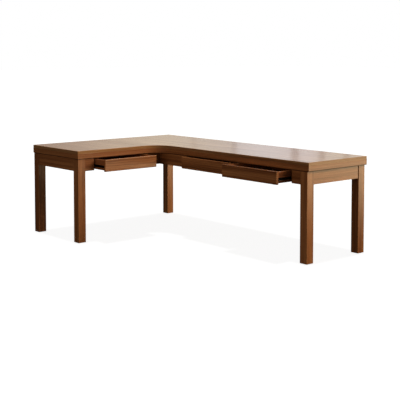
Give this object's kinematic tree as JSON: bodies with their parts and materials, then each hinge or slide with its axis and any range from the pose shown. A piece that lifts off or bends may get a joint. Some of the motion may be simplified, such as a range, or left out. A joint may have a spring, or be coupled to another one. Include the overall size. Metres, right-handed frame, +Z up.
{
  "type": "corner desk",
  "caption": "L-shaped wooden corner desk with a thick top, a curved inner corner, square legs and slide-out drawers without handles.",
  "frame": {"origin": "on the floor, under the middle of the desk's outline seen from above", "axes": "+X along the long wing, away from the return; +Y towards the wall behind the long wing; +Z up. The return comes forward, to -Y, at the -X end"},
  "size_m": [2.4538, 1.5118, 0.762],
  "materials": {
    "top_wood": "satin lacquer, straight walnut-like grain along each wing",
    "frame_wood": "satin lacquer, straight grain, reddish mid brown",
    "inner_wood": "matt, unstained",
    "box_wood": "satin, reddish dark brown",
    "plywood": "matt sheet",
    "black_steel": "black zinc-plated steel sheet",
    "nylon": "matt dark nylon"
  },
  "bodies": {
    "desk": {"top_board_long": "top_wood", "top_board_return": "top_wood", "edge_strip_back": "frame_wood", "edge_strip_left": "frame_wood", "edge_strip_end": "frame_wood", "edge_strip_return": "frame_wood", "edge_strip_long": "frame_wood", "edge_strip_right": "frame_wood", "edge_block_curve": "frame_wood", "leg_corner": "frame_wood", "glide_corner": "nylon", "leg_right_back": "frame_wood", "glide_right_back": "nylon", "leg_right_front": "frame_wood", "glide_right_front": "frame_wood", "leg_return_wall": "frame_wood", "glide_return_wall": "nylon", "leg_return_inner": "frame_wood", "glide_return_inner": "nylon", "apron_back": "frame_wood", "apron_left": "frame_wood", "apron_end": "frame_wood", "apron_right": "frame_wood", "apron_long": "frame_wood", "apron_return": "frame_wood", "stile_long": "frame_wood", "stile_return": "frame_wood", "corner_block": "inner_wood", "panel_long_left": "inner_wood", "panel_long_middle": "inner_wood", "panel_long_right": "inner_wood", "panel_return_near": "inner_wood", "panel_return_far": "inner_wood", "drawer_left_runner_left": "black_steel", "drawer_left_runner_right": "black_steel", "drawer_right_runner_left": "black_steel", "drawer_right_runner_right": "black_steel", "drawer_return_runner_left": "black_steel", "drawer_return_runner_right": "black_steel"},
    "left_drawer": {"drawer_left_front": "frame_wood", "drawer_left_side_left": "box_wood", "drawer_left_side_right": "box_wood", "drawer_left_back": "box_wood", "drawer_left_bottom": "plywood", "drawer_left_slide_left": "black_steel", "drawer_left_slide_right": "black_steel"},
    "right_drawer": {"drawer_right_front": "frame_wood", "drawer_right_side_left": "box_wood", "drawer_right_side_right": "box_wood", "drawer_right_back": "box_wood", "drawer_right_bottom": "plywood", "drawer_right_slide_left": "black_steel", "drawer_right_slide_right": "black_steel"},
    "return_drawer": {"drawer_return_front": "frame_wood", "drawer_return_side_left": "box_wood", "drawer_return_side_right": "box_wood", "drawer_return_back": "box_wood", "drawer_return_bottom": "plywood", "drawer_return_slide_left": "black_steel", "drawer_return_slide_right": "black_steel"}
  },
  "joints": [
    {"name": "left_drawer_travel", "type": "slide", "parent": "desk", "child": "left_drawer", "axis": [0, -1, 0], "range_m": [-0.063, 0.302]},
    {"name": "right_drawer_travel", "type": "slide", "parent": "desk", "child": "right_drawer", "axis": [0, -1, 0], "range_m": [-0.154, 0.211]},
    {"name": "return_drawer_travel", "type": "slide", "parent": "desk", "child": "return_drawer", "axis": [1, 0, 0], "range_m": [-0.154, 0.211]}
  ]
}
